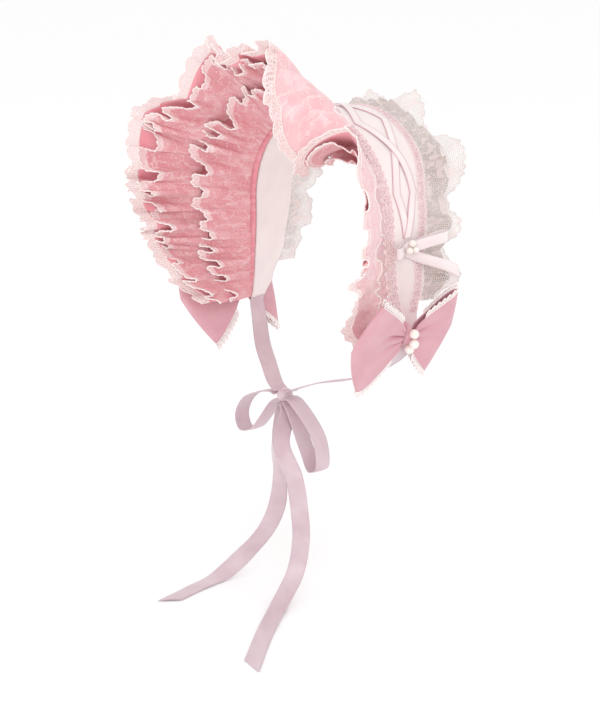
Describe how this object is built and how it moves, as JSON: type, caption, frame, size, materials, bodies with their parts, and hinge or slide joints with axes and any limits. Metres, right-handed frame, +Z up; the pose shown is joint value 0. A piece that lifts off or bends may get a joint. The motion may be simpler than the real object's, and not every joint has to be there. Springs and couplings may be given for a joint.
{
  "type": "half bonnet",
  "caption": "Half bonnet: a ruffled, lace-edged brim on a ribbon-laced band, ruffles behind, pearl-trimmed bows at the ears and a satin ribbon tied in a bow under the chin.",
  "frame": {"origin": "on the underside of the band at its top, where the bonnet sits", "axes": "+Z up as worn, the front of the bonnet faces -Y, and +X is the left side as worn"},
  "size_m": [0.3201, 0.2673, 0.4716],
  "materials": {
    "blush_satin": "pale blush satin",
    "rose_cloth": "matt rose cotton",
    "rose_lace": "pale rose lace",
    "pale_lace": "off-white sheer lace",
    "grey_lace": "warm grey sheer lace",
    "ribbon_satin": "pale pink satin ribbon",
    "bow_satin": "rose satin",
    "pearl": "pearl gloss"
  },
  "bodies": {
    "root": {"crown_band": "blush_satin", "brim": "rose_cloth", "band_trim_front": "rose_lace", "band_trim_back": "rose_lace", "brim_lace_edge": "rose_lace", "inner_ruffle_by_band": "rose_lace", "inner_ruffle_by_edge": "rose_lace", "ear_bow_left_front_lace_top": "rose_lace", "ear_bow_left_front_lace_bottom": "rose_lace", "ear_bow_left_back_lace_top": "rose_lace", "ear_bow_left_back_lace_bottom": "rose_lace", "ear_bow_right_front_lace_top": "rose_lace", "ear_bow_right_front_lace_bottom": "rose_lace", "ear_bow_right_back_lace_top": "rose_lace", "ear_bow_right_back_lace_bottom": "rose_lace", "back_flounce": "pale_lace", "back_frill": "grey_lace", "lacing_ribbon_under": "ribbon_satin", "lacing_ribbon_over": "ribbon_satin", "side_bow_left_back_loop": "ribbon_satin", "side_bow_left_front_loop": "ribbon_satin", "side_bow_left_back_tail": "ribbon_satin", "side_bow_left_knot": "ribbon_satin", "side_bow_right_back_loop": "ribbon_satin", "side_bow_right_front_loop": "ribbon_satin", "side_bow_right_back_tail": "ribbon_satin", "side_bow_right_knot": "ribbon_satin", "chin_tie_left": "ribbon_satin", "chin_tie_right": "ribbon_satin", "chin_bow_knot": "ribbon_satin", "chin_bow_loop_right": "ribbon_satin", "chin_bow_loop_left": "ribbon_satin", "chin_bow_tail_right": "ribbon_satin", "chin_bow_tail_left": "ribbon_satin", "ear_bow_left_front_wing": "bow_satin", "ear_bow_left_back_wing": "bow_satin", "ear_bow_left_knot": "bow_satin", "ear_bow_right_front_wing": "bow_satin", "ear_bow_right_back_wing": "bow_satin", "ear_bow_right_knot": "bow_satin", "side_bow_left_pearl_1": "pearl", "side_bow_left_pearl_2": "pearl", "side_bow_left_pearl_3": "pearl", "ear_bow_left_pearl_1": "pearl", "ear_bow_left_pearl_2": "pearl", "ear_bow_left_pearl_3": "pearl", "side_bow_right_pearl_1": "pearl", "side_bow_right_pearl_2": "pearl", "side_bow_right_pearl_3": "pearl", "ear_bow_right_pearl_1": "pearl", "ear_bow_right_pearl_2": "pearl", "ear_bow_right_pearl_3": "pearl"}
  },
  "joints": []
}
